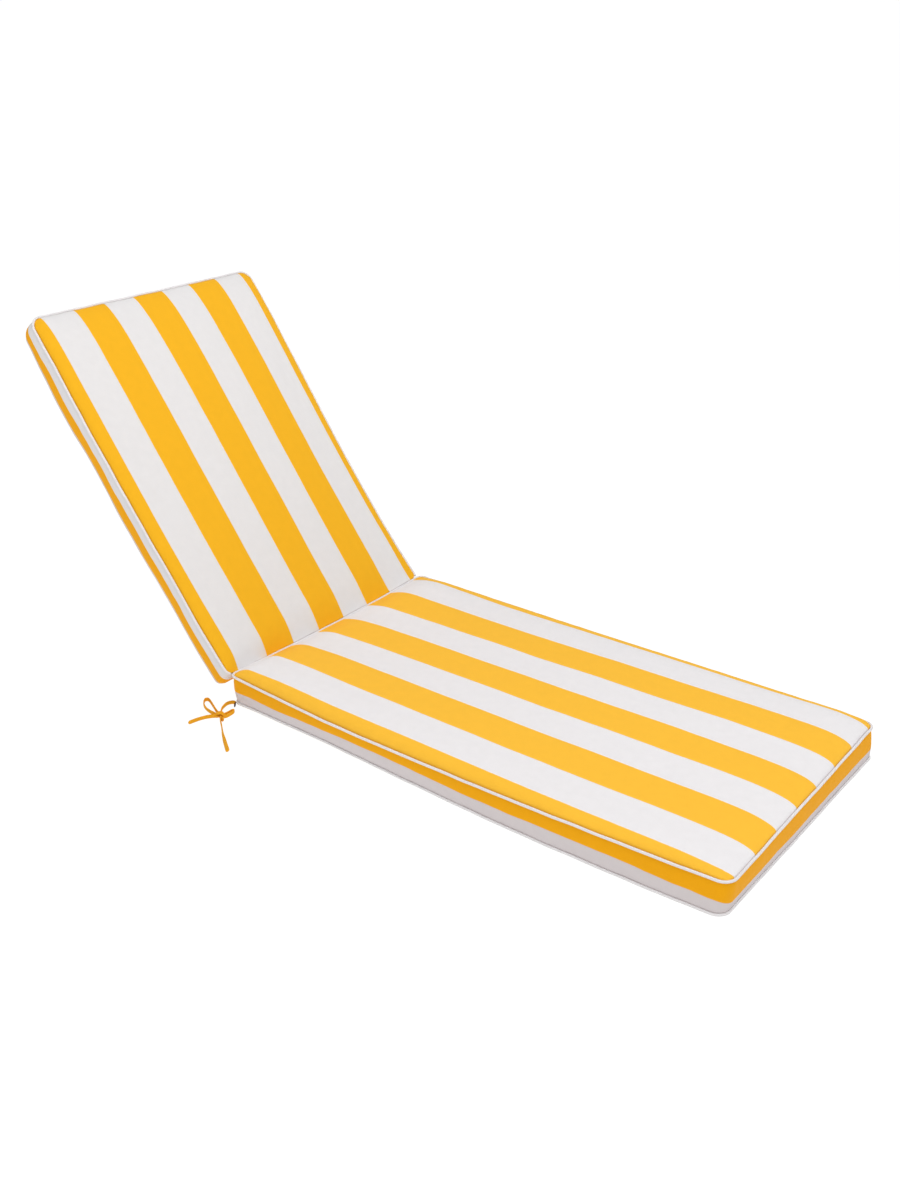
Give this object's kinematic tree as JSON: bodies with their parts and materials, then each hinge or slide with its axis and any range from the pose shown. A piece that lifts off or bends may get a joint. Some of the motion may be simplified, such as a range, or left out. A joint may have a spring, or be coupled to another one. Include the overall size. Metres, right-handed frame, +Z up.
{
  "type": "sun lounger cushion",
  "caption": "Striped sun lounger cushion: a flat seat pad with a raised back pad joined at a shared piped seam, and a tape tie knotted in a bow.",
  "frame": {"origin": "middle of the seat pad's flat underside, on the surface it rests on", "axes": "+X along the seat towards the foot end, +Z up, +Y across the cushion away from the tie's side; the back rises towards -X"},
  "size_m": [1.6102, 0.7437, 0.6892],
  "materials": {
    "seat_cloth": "matt woven canvas in broad yellow and off-white stripes",
    "back_cloth": "matt woven canvas in broad yellow and off-white stripes",
    "piping": "matt off-white covered cord",
    "tie_tape": "matt yellow woven tape"
  },
  "bodies": {
    "root": {"seat_cushion": "seat_cloth", "back_cushion": "back_cloth", "seat_side_band": "seat_cloth", "back_side_band": "back_cloth", "seat_top_piping": "piping", "seat_bottom_piping": "piping", "back_front_piping": "piping", "back_rear_piping": "piping", "tie": "tie_tape"}
  },
  "joints": []
}
